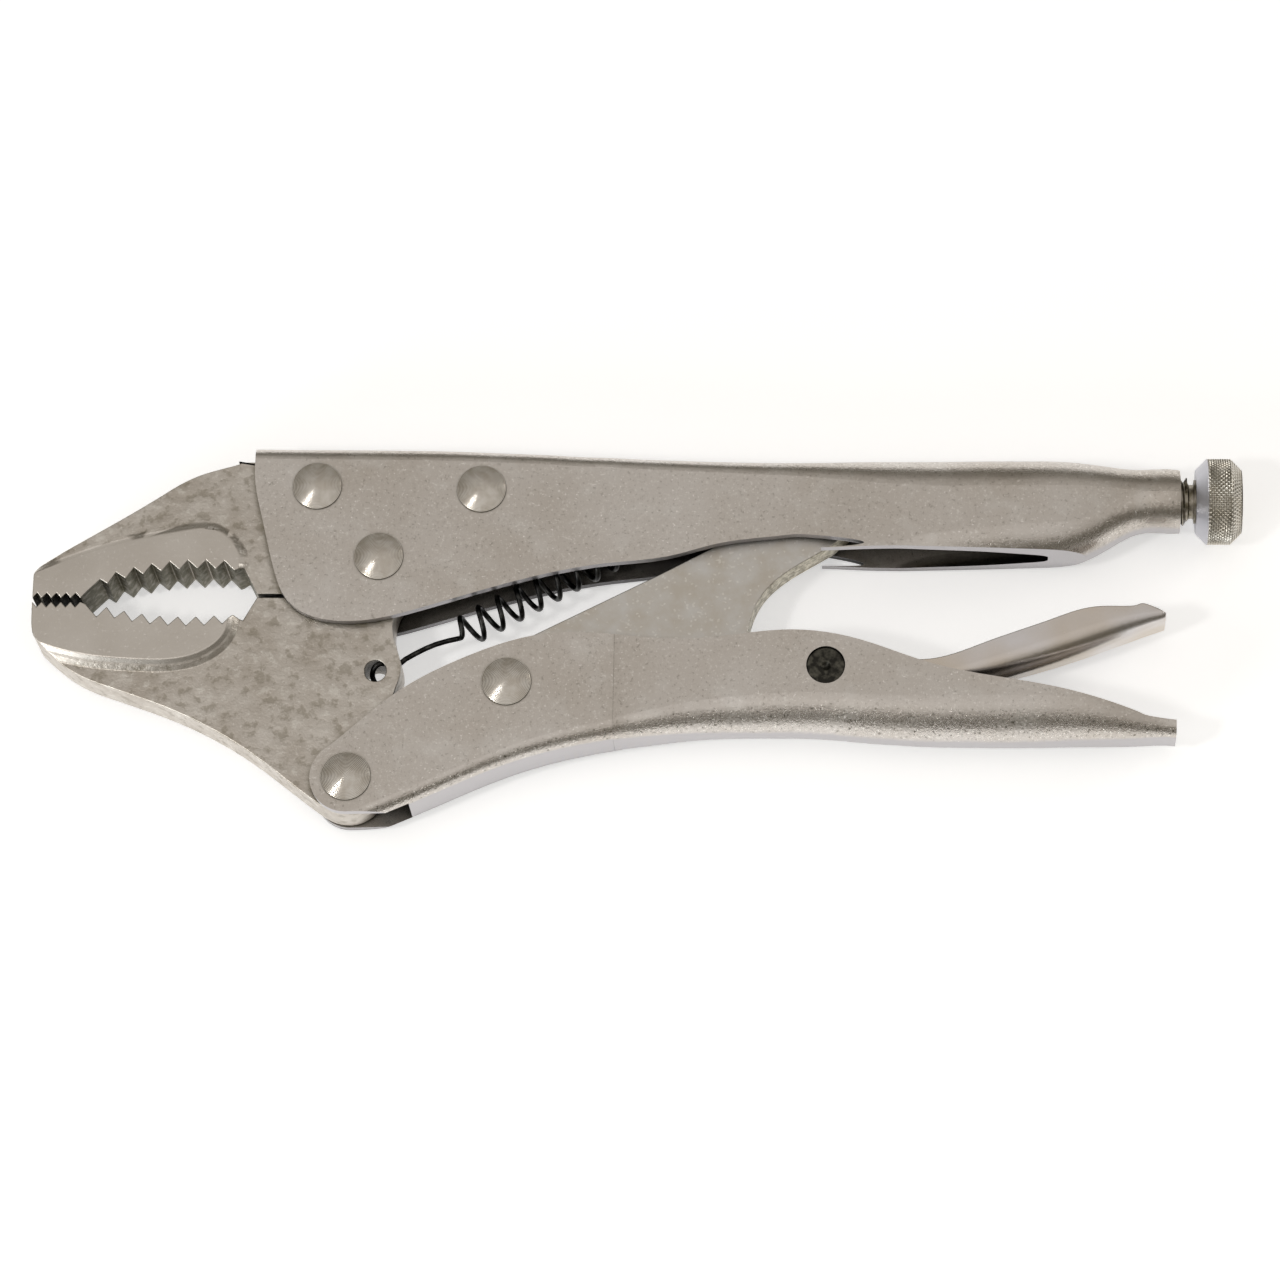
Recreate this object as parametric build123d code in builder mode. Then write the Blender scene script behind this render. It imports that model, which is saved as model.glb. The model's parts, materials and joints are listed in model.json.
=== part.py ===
"""Locking pliers, curved jaw, closed and locked, lying on their side.

X runs along the tool: nose at -X, adjusting knob at +X, parallel to the adjusting screw.
Y points from the lower handle to the fixed handle. Z is the thickness, +Z up.
The origin is below the middle of the tool, on the surface that it lies on.
"""

from build123d import *
from math import asin, atan2, cos, degrees, hypot, radians, sin
import os

os.makedirs("parts", exist_ok=True)

# ---------------------------------------------------------------- driving sizes, mm
overall_length = 252.0
overall_height = 80.0
nose_reach = 72.4  # nose tip to jaw pivot
handle_rise = 24.6  # jaw pivot to the top of the fixed handle
channel_width = 14.0  # both handles, outside, at the rivets
sheet = 2.0  # sheet steel of both handles
station_spacing = 8.3  # between the sections of a pressed channel
knob_diameter = 18.0
knob_length = 9.6
screw_diameter = 10.0
screw_pitch = 1.5
jaw_nose_thickness = 13.0
link_thickness = 6.8
lever_sheet = 1.3
lever_half_width = 5.1  # where the lever lies inside the lower handle
rivet_diameter = 6.0
rivet_head_diameter = 10.2
rivet_head_height = 1.2
rivet_rim = 0.35  # height of a head's straight rim
lever_pin_diameter = 5.0
lever_pin_end_diameter = 8.0
spring_wire = 1.15
spring_coil_diameter = 7.6
jaw_tooth_pitch = 3.75
jaw_tooth_depth = 2.0
nose_tooth_pitch = 2.1
nose_tooth_depth = 1.2
joggle = 0.15  # the lower handle steps out by this much behind its flat front
tab_width = 5.0  # the tab in the fixed handle for the spring
tab_thickness = 1.5
tab_hole = 1.1
tab_hole_edge = 2.6  # from the hole to the end of the tab
web_start = 13.0  # from the handle pivot to the front end of the lower handle's bottom
pad_draft = 2.2  # width of the drafted step round the jaws' nose pads
link_end = 7.5  # round front end of the link
link_heel = 19.0  # depth of the link's heel
pin_recess = 0.5  # the lever pin's ends lie below the walls
pin_dimple = 1.0
knob_chamfer = 2.3
knob_clearance = 0.05
spring_hole_radius = 2.3
spring_lead = 19.0  # straight wire from the ear to the first coil
spring_tail = 9.0
spring_turns = 9
slot_row = 8  # the underside's slot ends this far behind this station of the grip
slot_past_row = 4.0
ear_radius = 7.5  # rounded front end of the lower handle about its pivot

# ---------------------------------------------------------------- clearances, mm
seat_gap = 0.1  # a fixed piece between the channel walls
side_gap = 0.3  # a moving piece between walls
rivet_fit = 0.02  # a fixed rivet in its hole, radial
pivot_fit = 0.05  # a piece that turns on a rivet, radial
thread_fit = 0.08  # screw in the nose of the handle, radial
jaw_gap = 0.7  # between the closed jaws
knuckle_gap = 0.6  # round the jaw's knuckle
tail_gap = 1.9  # link tail to screw tip: the loop is open here

# ---------------------------------------------------------------- places
half_length = overall_length / 2
jaw_x = nose_reach - half_length
jaw_y = overall_height / 2 - handle_rise
floor_z = knob_diameter / 2  # height of the tool's middle plane over the surface


def at(x, y):
    """A point of the tool's side view, given from the jaw pivot."""
    return (jaw_x + x, jaw_y + y)


def turned(x, y, angle):
    """The point (x, y) turned about the origin by an angle in degrees."""
    c = cos(radians(angle))
    s = sin(radians(angle))
    return (c * x - s * y, s * x + c * y)


jaw_pivot = at(0, 0)
handle_pivot = (jaw_x - 5.2, ear_radius - overall_height / 2)
link_pivot = (handle_pivot[0] + 32.6, handle_pivot[1] + 20.6)
lever_pivot = (handle_pivot[0] + 98.5, handle_pivot[1] + 24.2)
front_rivet = at(-13.4, 15.5)
rear_rivet = at(21.1, 14.9)
screw_y = jaw_y + 14.8
tail_radius = 3.6
tail = (jaw_x + 102.0, screw_y)  # middle of the link's round tail
screw_tip_x = tail[0] + tail_radius + tail_gap
knob_face_x = half_length - knob_length
nose_end_x = knob_face_x - 3.2
spring_hole = (jaw_x - 0.1, jaw_y - 24.3)
spring_anchor = at(59.5, 9.4)
tab_height = jaw_y + 21.0 - at(0, 9.4)[1] + tab_hole_edge
half_width = channel_width / 2
inner_half = half_width - sheet
moving_half = inner_half - side_gap
fixed_half = inner_half - seat_gap
mid = Plane.XY.offset(floor_z)


# ---------------------------------------------------------------- shared shapes
def section(x, half, crown, floor, crown_bend, floor_bend, inset=0.0):
    """Rounded box outline across the tool at x; inset shrinks it by the sheet."""
    across = Plane(
        origin=(x, (crown + floor) / 2, floor_z), x_dir=(0, 1, 0), z_dir=(1, 0, 0)
    )
    with BuildSketch(across, mode=Mode.PRIVATE) as outline:
        Rectangle(crown - floor - 2 * inset, 2 * (half - inset))
        fillet(outline.vertices().group_by(Axis.X)[-1], crown_bend - inset)
        fillet(outline.vertices().group_by(Axis.X)[0], floor_bend - inset)
    return outline.sketch


def eased(rows, x):
    """Row values at x, on smooth curves through the rows that don't overshoot them."""
    last = len(rows) - 2
    at_row = max(i for i in range(last + 1) if i == 0 or rows[i][0] <= x)
    left, right = rows[at_row], rows[at_row + 1]
    span = right[0] - left[0]
    s = (x - left[0]) / span
    values = [x]
    for k in range(1, len(left)):
        rise = (right[k] - left[k]) / span
        slopes = []
        for i in (at_row, at_row + 1):
            if 0 < i <= last:
                back = (rows[i][k] - rows[i - 1][k]) / (rows[i][0] - rows[i - 1][0])
                ahead = (rows[i + 1][k] - rows[i][k]) / (rows[i + 1][0] - rows[i][0])
                turns = back * ahead <= 0
                slopes.append(0 if turns else 2 * back * ahead / (back + ahead))
            else:
                slopes.append(rise)
        bump = span * (s * (1 - s) ** 2 * slopes[0] - s * s * (1 - s) * slopes[1])
        values.append(left[k] + (right[k] - left[k]) * s * s * (3 - 2 * s) + bump)
    return values


def even_rows(rows, spacing):
    """Rows at even steps along x, because a loft waves where its sections are uneven."""
    steps = round((rows[-1][0] - rows[0][0]) / spacing)
    run = (rows[-1][0] - rows[0][0]) / steps
    return [eased(rows, rows[0][0] + i * run) for i in range(steps + 1)]


def teeth(start, end, rise, pitch, depth):
    """Tips and valleys from start to end, on a shallow arc that rises by rise in its middle.

    Valleys lie depth to the left of the way from start to end."""
    run = hypot(end[0] - start[0], end[1] - start[1])
    along = ((end[0] - start[0]) / run, (end[1] - start[1]) / run)
    count = round(run / pitch)
    points = []
    for step in range(2 * count + 1):
        s = step / (2 * count)
        lift = 4 * rise * s * (1 - s) + (depth if step % 2 else 0)
        points.append(
            (
                start[0] + along[0] * run * s - along[1] * lift,
                start[1] + along[1] * run * s + along[0] * lift,
            )
        )
    return points


def rivet(place, half_grip):
    """A rivet through both walls, with a low domed head spun on each side."""
    shank = rivet_diameter / 2
    rim = rivet_head_diameter / 2
    top = half_grip + rivet_head_height
    rise = rivet_head_height - rivet_rim
    dome = (rim**2 + rise**2) / (2 * rise)
    half_way = asin(rim / dome) / 2
    crown = (dome * sin(half_way), top - dome * (1 - cos(half_way)))
    with BuildPart() as made:
        with BuildSketch(Plane.XZ):
            with BuildLine():
                Line((0, -top), (0, top))
                ThreePointArc((0, top), crown, (rim, half_grip + rivet_rim))
                Polyline(
                    (rim, half_grip + rivet_rim),
                    (rim, half_grip),
                    (shank, half_grip),
                    (shank, -half_grip),
                    (rim, -half_grip),
                    (rim, -half_grip - rivet_rim),
                )
                ThreePointArc(
                    (rim, -half_grip - rivet_rim), (crown[0], -crown[1]), (0, -top)
                )
            make_face()
        revolve(axis=Axis.Z)
    return made.part.moved(Location((place[0], place[1], floor_z)))


# ---------------------------------------------------------------- fixed handle
# Stations of the pressed channel: x, half width, top, bottom, top bend, bottom bend.
# All are counted from the jaw pivot.
front_rows = [
    (-27.0, half_width, 24.6, -20.0, 3.0, 2.5),
    (10.0, half_width, 24.3, -20.0, 3.0, 2.5),
    (28.0, half_width, 23.7, -20.0, 3.0, 2.5),
    (45.0, half_width, 22.9, -20.0, 3.0, 2.5),
]
grip_rows = [
    (45.0, half_width, 22.9, -20.0, 3.0, 2.5),
    (62.0, half_width - 0.4, 22.4, -20.0, 3.2, 2.5),
    (78.0, half_width - 0.7, 22.2, -19.0, 3.6, 2.5),
    (90.0, half_width - 0.4, 22.3, -16.0, 4.4, 3.0),
    (99.0, half_width + 0.7, 22.5, -9.0, 5.8, 4.5),
    (108.0, half_width + 1.3, 22.7, -3.6, 7.0, 6.4),
    (120.0, half_width + 1.4, 22.9, -1.6, 7.6, 7.2),
    (134.0, half_width + 1.2, 23.1, -0.2, 7.6, 7.2),
    (145.0, half_width + 0.7, 23.0, 1.0, 7.2, 7.0),
    (150.5, half_width, 22.3, 3.6, 6.6, 6.6),
    (157.5, half_width - 0.4, 21.5, 8.0, 6.5, 6.5),
    (167.2, half_width - 0.4, 21.4, 8.2, 6.5, 6.5),
]
waist_row = 1  # rows before this one stay with the jaws when the tool's length changes


def fixed_sections(rows, inset):
    """Sections of the fixed handle; inset is 0 outside and the sheet inside."""
    made = []
    for x, half, top, bottom, bend, low_bend in even_rows(rows, station_spacing):
        made.append(
            section(jaw_x + x, half, jaw_y + top, jaw_y + bottom, bend, low_bend, inset)
        )
    return made


def stretched(rows):
    """The grip's rows with the tool's extra length shared out behind the waist."""
    first, last = rows[waist_row][0], rows[-1][0]
    factor = (nose_end_x - jaw_x - first) / (last - first)
    moved = []
    for index, row in enumerate(rows):
        x = row[0] if index <= waist_row else first + (row[0] - first) * factor
        moved.append((x, *row[1:]))
    return moved


grip_rows = stretched(grip_rows)
closed_x = jaw_x + grip_rows[slot_row][0] + slot_past_row  # the underside's slot ends here

with BuildPart() as fixed_handle:
    loft(sections=fixed_sections(front_rows, 0))
    loft(sections=fixed_sections(grip_rows, 0))
    loft(sections=fixed_sections(front_rows, sheet), mode=Mode.SUBTRACT)
    loft(sections=fixed_sections(grip_rows, sheet), mode=Mode.SUBTRACT)
    # Side view: the front edge, the knuckle's cheek and the long lower edge.
    with BuildSketch(mid) as side:
        with BuildLine():
            front_top = at(-26.7, 30)
            cheek = at(-21.0, -5.6)
            Line(front_top, at(-26.7, 19.5))
            Spline(at(-26.7, 19.5), at(-25.0, 9.5), cheek, tangents=[(0, -1), (0.35, -1)])
            Spline(
                cheek,
                at(-16.0, -12.0),
                at(-4.6, -14.2),
                at(8.7, -11.4),
                at(26.3, -6.0),
                at(48.2, -1.3),
                at(60.8, 0.4),
                at(71.5, 3.4),
                at(84.0, 5.0),
                at(92.5, 4.8),
                at(99.0, 2.5),
                at(104.0, 2.2),
                tangents=[(0.35, -1), (1, 0)],
            )
            slot_end = (closed_x, jaw_y + 2.2)
            Line(at(104.0, 2.2), slot_end)
            Polyline(
                slot_end,
                (closed_x + 2.0, jaw_y - 2),
                (nose_end_x, jaw_y - 2),
                (nose_end_x, jaw_y + 30),
                front_top,
            )
        make_face()
    extrude(amount=2 * channel_width, both=True, mode=Mode.INTERSECT)
    # Lanced tab that the spring's rear hook holds on to.
    tab_plane = Plane(origin=(spring_anchor[0], 0, floor_z), x_dir=(0, 1, 0), z_dir=(1, 0, 0))
    with BuildSketch(tab_plane):
        with Locations((spring_anchor[1] + tab_height / 2 - tab_hole_edge, 0)):
            Rectangle(tab_height, tab_width)
        with Locations((spring_anchor[1], 0)):
            Circle(tab_hole, mode=Mode.SUBTRACT)
    extrude(amount=tab_thickness)
    nose_bore = Plane(origin=(closed_x, screw_y, floor_z), z_dir=(1, 0, 0))
    with BuildSketch(nose_bore):
        Circle(screw_diameter / 2 + thread_fit)
    extrude(amount=nose_end_x - closed_x, mode=Mode.SUBTRACT)
    with BuildSketch(mid):
        with Locations(jaw_pivot, front_rivet, rear_rivet):
            Circle(rivet_diameter / 2 + rivet_fit)
    extrude(amount=channel_width, both=True, mode=Mode.SUBTRACT)

fixed_handle.part.label = "fixed_handle"
export_step(fixed_handle.part, "parts/fixed_handle.step")


# ---------------------------------------------------------------- jaws
def pad_sketch(edge, side, grow, plane):
    """A nose pad's outline on a plane: its edge grown outwards, closed beyond the teeth.

    The edge runs from the nose to the heel; side is 1 on the upper jaw, -1 on the lower."""
    moved = []
    for index, (x, y) in enumerate(edge):
        before = edge[max(index - 1, 0)]
        after = edge[min(index + 1, len(edge) - 1)]
        run = hypot(after[0] - before[0], after[1] - before[1])
        out_x = -side * (after[1] - before[1]) / run
        out_y = side * (after[0] - before[0]) / run
        moved.append(at(x + grow * out_x, y + grow * out_y))
    far_y = jaw_y - side * 20.0 + nose_line
    with BuildSketch(plane, mode=Mode.PRIVATE) as outline:
        with BuildLine():
            Spline(*moved)
            Polyline(
                moved[-1], (moved[-1][0], far_y), (moved[0][0], far_y), moved[0]
            )
        make_face()
    return outline.sketch


def forged(outline, pad_edge, pad_side, bore_places, bore_radius, half_body):
    """A forging: the outline at full nose thickness, with the body thinner than the nose pad.

    The pad's wall is drafted down to the body."""
    nose_half = jaw_nose_thickness / 2
    with BuildPart(mode=Mode.PRIVATE) as envelope:
        with BuildSketch(mid):
            Rectangle(4 * nose_reach, 4 * nose_reach)
        extrude(amount=half_body, both=True)
        for side in (1, -1):
            foot = pad_sketch(pad_edge, pad_side, pad_draft, mid.offset(side * half_body))
            top = pad_sketch(pad_edge, pad_side, 0, mid.offset(side * nose_half))
            loft(sections=[foot, top])
    with BuildPart() as made:
        with BuildSketch(mid):
            add(outline)
        extrude(amount=nose_half, both=True)
        add(envelope.part, mode=Mode.INTERSECT)
        with BuildSketch(mid):
            for place in bore_places:
                with Locations(place):
                    Circle(bore_radius)
        extrude(amount=nose_half, both=True, mode=Mode.SUBTRACT)
    return made


nose_line = -9.2  # tips of the upper jaw's fine teeth, from the jaw pivot
cutter_line = -7.6  # edge of the upper cutter
upper_nose_teeth = teeth(
    at(-62.2, nose_line), at(-72.3, nose_line), 0, nose_tooth_pitch, -nose_tooth_depth
)
upper_teeth = teeth(at(-30.2, -3.0), at(-56.6, -6.0), -1.5, jaw_tooth_pitch, -jaw_tooth_depth)

with BuildSketch(mode=Mode.PRIVATE) as upper_outline:
    with BuildLine():
        Spline(
            at(-72.3, -4.2),
            at(-70.3, -1.2),
            at(-62.5, 4.0),
            at(-46.0, 14.4),
            at(-36.5, 19.4),
            at(-30.0, 21.4),
            at(-24.0, 21.6),
            tangents=[(0.15, 1), (1, 0)],
        )
        knuckle_top = turned(ear_radius + 1.5 + knuckle_gap, 0, 35)
        knuckle_left = turned(ear_radius + 1.5 + knuckle_gap, 0, 205)
        Polyline(at(-24.0, 21.6), at(28.0, 20.6), at(31.0, 18.5), at(31.0, 10.0), at(*knuckle_top))
        ThreePointArc(
            at(*knuckle_top),
            at(*turned(ear_radius + 1.5 + knuckle_gap, 0, 120)),
            at(*knuckle_left),
        )
        Polyline(
            at(*knuckle_left),
            at(-14.0, cutter_line),
            at(-25.4, cutter_line),
            at(-28.2, -2.2),
            *upper_teeth,
            at(-58.2, -5.0),
            at(-61.2, nose_line + 1.2),
            *upper_nose_teeth,
            at(-72.3, -4.2),
        )
    make_face()

upper_pad_edge = [
    (-80.0, -7.5),
    (-63.0, 0.0),
    (-51.0, 3.7),
    (-41.5, 5.6),
    (-34.6, 5.8),
    (-31.0, 3.2),
    (-29.4, -2.7),
]
upper_jaw = forged(
    upper_outline.sketch,
    upper_pad_edge,
    1,
    [front_rivet, rear_rivet],
    rivet_diameter / 2 + rivet_fit,
    fixed_half,
)
upper_jaw.part.label = "upper_jaw"
export_step(upper_jaw.part, "parts/upper_jaw.step")

lower_nose_line = nose_line - jaw_gap
lower_nose_teeth = teeth(
    at(-72.3, lower_nose_line), at(-62.2, lower_nose_line), 0, nose_tooth_pitch, -nose_tooth_depth
)
lower_teeth = teeth(at(-56.6, -11.0), at(-30.2, -12.4), -1.3, jaw_tooth_pitch, -jaw_tooth_depth)
handle_dx = handle_pivot[0] - jaw_x
handle_dy = handle_pivot[1] - jaw_y
jaw_ear = ear_radius - 0.3

with BuildSketch(mode=Mode.PRIVATE) as lower_outline:
    with BuildLine():
        knuckle_start = turned(ear_radius + 1.5, 0, 212)
        knuckle_end = turned(ear_radius + 1.5, 0, -48)
        Polyline(
            *lower_nose_teeth,
            at(-61.0, lower_nose_line - 0.6),
            at(-58.6, -13.2),
            *lower_teeth,
            at(-28.2, -13.4),
            at(-25.4, cutter_line - jaw_gap),
            at(-14.0, cutter_line - jaw_gap),
            at(*knuckle_start),
        )
        ThreePointArc(
            at(*knuckle_start), at(*turned(ear_radius + 1.5, 0, 90)), at(*knuckle_end)
        )
        Spline(
            at(*knuckle_end),
            at(3.2, -15.5),
            at(5.2, -24.0),
            at(3.6, -30.5),
            at(3.4, -38.0),
            at(handle_dx + jaw_ear, handle_dy),
            tangents=[(-0.7, -1), (-0.1, -1)],
        )
        ThreePointArc(
            at(handle_dx + jaw_ear, handle_dy),
            at(handle_dx + 0.7 * jaw_ear, handle_dy - 0.714 * jaw_ear),
            at(handle_dx, handle_dy - jaw_ear),
        )
        Spline(
            at(handle_dx, handle_dy - jaw_ear),
            at(handle_dx - 6.0, handle_dy - 5.0),
            at(-24.2, -43.0),
            at(-40.4, -33.7),
            at(-54.0, -28.6),
            at(-65.6, -23.2),
            at(-70.6, -18.6),
            at(-72.3, lower_nose_line - 1.6),
            tangents=[(-1, 0), (0, 1)],
        )
        Line(at(-72.3, lower_nose_line - 1.6), lower_nose_teeth[0])
    make_face()

lower_pad_edge = [
    (-80.0, -14.0),
    (-71.0, -18.6),
    (-62.0, -21.2),
    (-50.0, -22.4),
    (-38.8, -21.6),
    (-33.2, -18.4),
    (-31.2, -11.0),
]
lower_jaw = forged(
    lower_outline.sketch,
    lower_pad_edge,
    -1,
    [jaw_pivot, handle_pivot],
    rivet_diameter / 2 + pivot_fit,
    moving_half,
)
with BuildPart() as lower_jaw_drilled:
    add(lower_jaw.part)
    with BuildSketch(mid):
        with Locations(spring_hole):
            Circle(spring_hole_radius)
    extrude(amount=jaw_nose_thickness, both=True, mode=Mode.SUBTRACT)
lower_jaw_drilled.part.label = "lower_jaw"
export_step(lower_jaw_drilled.part, "parts/lower_jaw.step")

# ---------------------------------------------------------------- rivets
for rivet_name, rivet_place in (
    ("front_jaw_rivet", front_rivet),
    ("rear_jaw_rivet", rear_rivet),
    ("jaw_pivot_rivet", jaw_pivot),
    ("handle_pivot_rivet", handle_pivot),
    ("link_rivet", link_pivot),
):
    made_rivet = rivet(rivet_place, half_width)
    made_rivet.label = rivet_name
    export_step(made_rivet, f"parts/{rivet_name}.step")

# ---------------------------------------------------------------- lower handle
# Stations: x from the handle pivot, half width, bottom from the handle pivot, bottom bend.
lower_front_rows = [
    (-12.0, half_width, -16.0, 3.0),
    (4.0, half_width, -9.2, 3.0),
    (14.0, half_width, -4.9, 3.0),
    (23.0, half_width, -0.8, 3.0),
    (35.0, half_width, 4.2, 3.1),
    (46.0, half_width, 7.3, 3.3),
    (54.8, half_width, 9.0, 3.6),
]
lower_grip_rows = [
    (54.8, half_width + joggle, 9.0 - joggle / 2, 4.0),
    (64.0, half_width + joggle, 10.1, 4.8),
    (76.0, half_width + joggle, 11.0, 6.2),
    (92.0, half_width + 0.7, 11.1, 7.2),
    (106.0, half_width + 1.0, 10.2, 7.7),
    (121.0, half_width + 1.4, 9.3, 8.1),
    (136.0, half_width + 1.7, 9.2, 8.4),
    (148.0, half_width + 1.7, 9.5, 8.0),
    (157.0, half_width + 0.7, 9.8, 6.2),
    (164.0, half_width - 0.8, 10.0, 4.2),
    (170.5, half_width - 1.7, 10.1, 3.0),
]


def lower_rows(rows, inset):
    """Sections of the lower handle; they reach above its walls, which the side view trims."""
    made = []
    for x, half, bottom, bend in even_rows(rows, station_spacing):
        crown = handle_pivot[1] + 45.0
        base = handle_pivot[1] + bottom
        made.append(
            section(handle_pivot[0] + x, half, crown, base, inset + 0.5, bend, inset)
        )
    return made


def from_handle(x, y):
    """A point of the side view, given from the handle pivot."""
    return (handle_pivot[0] + x, handle_pivot[1] + y)


with BuildPart() as lower_handle:
    loft(sections=lower_rows(lower_front_rows, 0))
    loft(sections=lower_rows(lower_grip_rows, 0))
    loft(sections=lower_rows(lower_front_rows, sheet), mode=Mode.SUBTRACT)
    loft(sections=lower_rows(lower_grip_rows, sheet), mode=Mode.SUBTRACT)
    with BuildSketch(mid):
        with BuildLine():
            ear_top = from_handle(*turned(ear_radius, 0, 120))
            Spline(
                ear_top,
                from_handle(10.0, 18.3),
                from_handle(24.0, 26.0),
                from_handle(40.0, 31.0),
                from_handle(52.0, 31.2),
                from_handle(69.0, 30.0),
                from_handle(91.0, 31.9),
                from_handle(104.5, 30.0),
                from_handle(120.5, 24.4),
                from_handle(139.5, 20.6),
                from_handle(152.0, 17.9),
                from_handle(163.0, 14.6),
                from_handle(170.5, 13.4),
                tangents=[turned(1, 0, 40), (1, -0.1)],
            )
            ThreePointArc(
                ear_top,
                from_handle(*turned(ear_radius, 0, 195)),
                from_handle(0, -ear_radius),
            )
            Polyline(
                from_handle(0, -ear_radius),
                from_handle(web_start, -ear_radius + 0.4),
                from_handle(web_start, -20.0),
                from_handle(170.5, -20.0),
                from_handle(170.5, 13.4),
            )
        make_face()
    extrude(amount=2 * channel_width, both=True, mode=Mode.INTERSECT)
    # The bottom of the channel stops short of the ear, which leaves two cheeks.
    with BuildSketch(mid):
        with Locations(from_handle(web_start - 25.0, 0)):
            Rectangle(50.0, 60.0)
    extrude(amount=inner_half, both=True, mode=Mode.SUBTRACT)
    with BuildSketch(mid):
        with Locations(handle_pivot, link_pivot):
            Circle(rivet_diameter / 2 + rivet_fit)
        with Locations(lever_pivot):
            Circle(lever_pin_end_diameter / 2 + rivet_fit)
    extrude(amount=2 * channel_width, both=True, mode=Mode.SUBTRACT)
lower_handle.part.label = "lower_handle"
export_step(lower_handle.part, "parts/lower_handle.step")

# ---------------------------------------------------------------- toggle link
link_length = hypot(tail[0] - link_pivot[0], tail[1] - link_pivot[1])
link_angle = degrees(atan2(tail[1] - link_pivot[1], tail[0] - link_pivot[0]))
link_plane = Plane(
    origin=(link_pivot[0], link_pivot[1], floor_z),
    x_dir=(cos(radians(link_angle)), sin(radians(link_angle)), 0),
    z_dir=(0, 0, 1),
)
with BuildPart() as toggle_link:
    with BuildSketch(link_plane):
        with BuildLine():
            ThreePointArc((0, link_end), (-link_end, 0), (0, -link_end))
            Polyline(
                (0, -link_end), (24.0, -13.0), (41.0, -link_heel), (46.5, -link_heel + 0.8)
            )
            Spline(
                (46.5, -link_heel + 0.8),
                (51.2, -11.5),
                (57.0, -7.6),
                (link_length - 22.0, -6.2),
                (link_length - 12.0, -5.8),
                tangents=[(0.5, 1), (1, 0.05)],
            )
            Line((link_length - 12.0, -5.8), (link_length - 1.0, -tail_radius))
            ThreePointArc(
                (link_length - 1.0, -tail_radius),
                (link_length + tail_radius - 1.0, 0),
                (link_length - 1.0, tail_radius),
            )
            Spline(
                (link_length - 1.0, tail_radius),
                (link_length - 14.0, 5.0),
                (40.0, 6.2),
                (0, link_end),
                tangents=[(-1, 0.05), (-1, 0)],
            )
        make_face()
    extrude(amount=link_thickness / 2, both=True)
    with BuildSketch(mid):
        with Locations(link_pivot):
            Circle(rivet_diameter / 2 + pivot_fit)
    extrude(amount=link_thickness, both=True, mode=Mode.SUBTRACT)
toggle_link.part.label = "toggle_link"
export_step(toggle_link.part, "parts/toggle_link.step")


# ---------------------------------------------------------------- release lever
def from_lever(x, y):
    """A point of the side view, given from the lever pin."""
    return (lever_pivot[0] + x, lever_pivot[1] + y)


# Stations: x from the lever pin, half width, bottom from the pin, bottom bend.
lever_rows = [
    (-17.5, lever_half_width, -2.3, 2.4),
    (-8.0, lever_half_width, -3.9, 2.6),
    (2.0, lever_half_width, -5.2, 2.8),
    (14.0, lever_half_width, -5.3, 3.2),
    (26.0, lever_half_width, -3.4, 3.8),
    (39.5, lever_half_width + 0.4, 0.0, 4.4),
    (52.0, lever_half_width + 0.7, 3.9, 4.8),
    (60.0, lever_half_width + 0.6, 7.0, 4.2),
    (66.0, lever_half_width + 0.2, 9.6, 3.0),
    (70.2, lever_half_width - 0.2, 11.2, 2.0),
]


def lever_sections(inset):
    made = []
    for x, half, bottom, bend in even_rows(lever_rows, station_spacing):
        low = lever_pivot[1] + bottom
        made.append(
            section(lever_pivot[0] + x, half, low + 30.0, low, inset + 0.5, bend, inset)
        )
    return made


with BuildPart() as release_lever:
    loft(sections=lever_sections(0))
    loft(sections=lever_sections(lever_sheet), mode=Mode.SUBTRACT)
    with BuildSketch(mid):
        with BuildLine():
            Spline(
                from_lever(-17.5, 0.8),
                from_lever(-10.0, 3.6),
                from_lever(0.0, 4.4),
                from_lever(12.0, 2.8),
                from_lever(22.0, 2.4),
                from_lever(33.0, 6.0),
                from_lever(47.0, 11.0),
                from_lever(56.0, 13.6),
                from_lever(64.0, 14.0),
                from_lever(70.2, 12.6),
                tangents=[(1, 0.7), (1, -0.5)],
            )
            Polyline(
                from_lever(70.2, 12.6),
                from_lever(70.2, -20.0),
                from_lever(-17.5, -20.0),
                from_lever(-17.5, 0.8),
            )
        make_face()
    extrude(amount=channel_width, both=True, mode=Mode.INTERSECT)
    with BuildSketch(mid):
        with Locations(lever_pivot):
            Circle(lever_pin_diameter / 2 + pivot_fit)
    extrude(amount=channel_width, both=True, mode=Mode.SUBTRACT)
release_lever.part.label = "release_lever"
export_step(release_lever.part, "parts/release_lever.step")

# ---------------------------------------------------------------- lever pin
pin_half = half_width + 0.7 - pin_recess
with BuildPart() as lever_pin:
    with BuildSketch(Plane.XZ):
        with BuildLine():
            end = lever_pin_end_diameter / 2
            core = lever_pin_diameter / 2
            flange = sheet - 2 * pin_recess
            Polyline(
                (0, -pin_half + pin_dimple),
                (pin_dimple, -pin_half),
                (end, -pin_half),
                (end, -pin_half + flange),
                (core, -pin_half + flange),
                (core, pin_half - flange),
                (end, pin_half - flange),
                (end, pin_half),
                (pin_dimple, pin_half),
                (0, pin_half - pin_dimple),
                (0, -pin_half + pin_dimple),
            )
        make_face()
    revolve(axis=Axis.Z)
pin_part = lever_pin.part.moved(Location((lever_pivot[0], lever_pivot[1], floor_z)))
pin_part.label = "lever_pin"
export_step(pin_part, "parts/lever_pin.step")

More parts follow.
